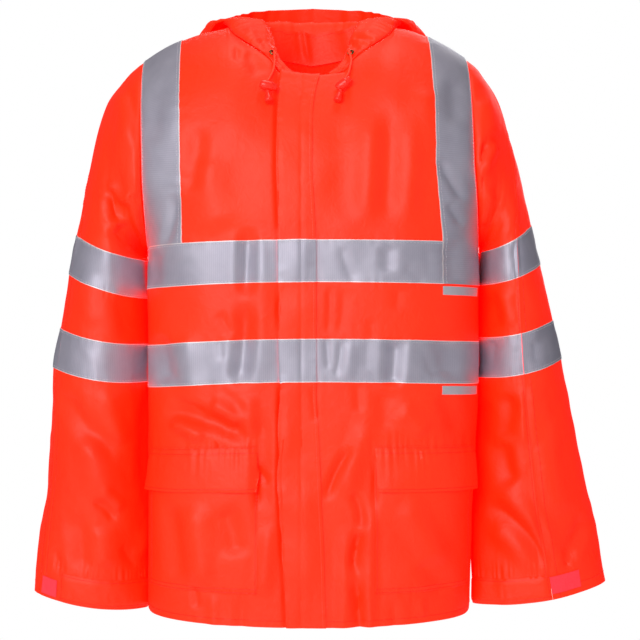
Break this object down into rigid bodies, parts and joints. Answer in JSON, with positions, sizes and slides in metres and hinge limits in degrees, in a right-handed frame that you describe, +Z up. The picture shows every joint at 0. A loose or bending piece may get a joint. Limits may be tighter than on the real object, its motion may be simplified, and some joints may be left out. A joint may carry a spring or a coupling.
{
  "type": "hi-vis work jacket",
  "caption": "Hooded waterproof work jacket with reflective tape over the shoulders, round the body and round the sleeves, hollow and in its worn shape.",
  "frame": {"origin": "middle of the neck opening at the height of the shoulders, where the wearer's shoulders hold the jacket", "axes": "+Z up, -Y out of the front, +X to the wearer's left"},
  "size_m": [0.6857, 0.3693, 0.758],
  "materials": {
    "cloth": "coated woven polyester, fluorescent orange-red",
    "tape": "silver retroreflective tape, satin, finely ribbed",
    "loop": "woven loop pile",
    "label": "bare woven strip",
    "brass": "dark burnished eyelet",
    "cord": "braided polyester cord",
    "plastic": "moulded, satin"
  },
  "bodies": {
    "root": {"back": "cloth", "back_band_lower": "tape", "back_band_upper": "tape", "brace_left": "tape", "brace_right": "tape", "collar": "cloth", "cord_end_left": "plastic", "cord_end_right": "plastic", "cord_toggle_left": "plastic", "cord_toggle_right": "plastic", "cuff_patch_left": "loop", "cuff_patch_right": "loop", "cuff_tab_left": "cloth", "cuff_tab_right": "cloth", "drawcord_left": "cord", "drawcord_right": "cord", "eyelet_left": "brass", "eyelet_right": "brass", "flap_band_lower": "tape", "flap_band_upper": "tape", "front_band_lower_left": "tape", "front_band_lower_right": "tape", "front_band_upper_left": "tape", "front_band_upper_right": "tape", "front_left": "cloth", "front_right": "cloth", "hood": "cloth", "label_lower": "label", "label_upper": "label", "pocket_flap_left": "cloth", "pocket_flap_right": "cloth", "pocket_left": "cloth", "pocket_right": "cloth", "sleeve_band_lower_left_back": "tape", "sleeve_band_lower_left_front": "tape", "sleeve_band_lower_right_back": "tape", "sleeve_band_lower_right_front": "tape", "sleeve_band_upper_left_back": "tape", "sleeve_band_upper_left_front": "tape", "sleeve_band_upper_right_back": "tape", "sleeve_band_upper_right_front": "tape", "sleeve_left_back": "cloth", "sleeve_left_front": "cloth", "sleeve_right_back": "cloth", "sleeve_right_front": "cloth", "storm_flap": "cloth"}
  },
  "joints": []
}
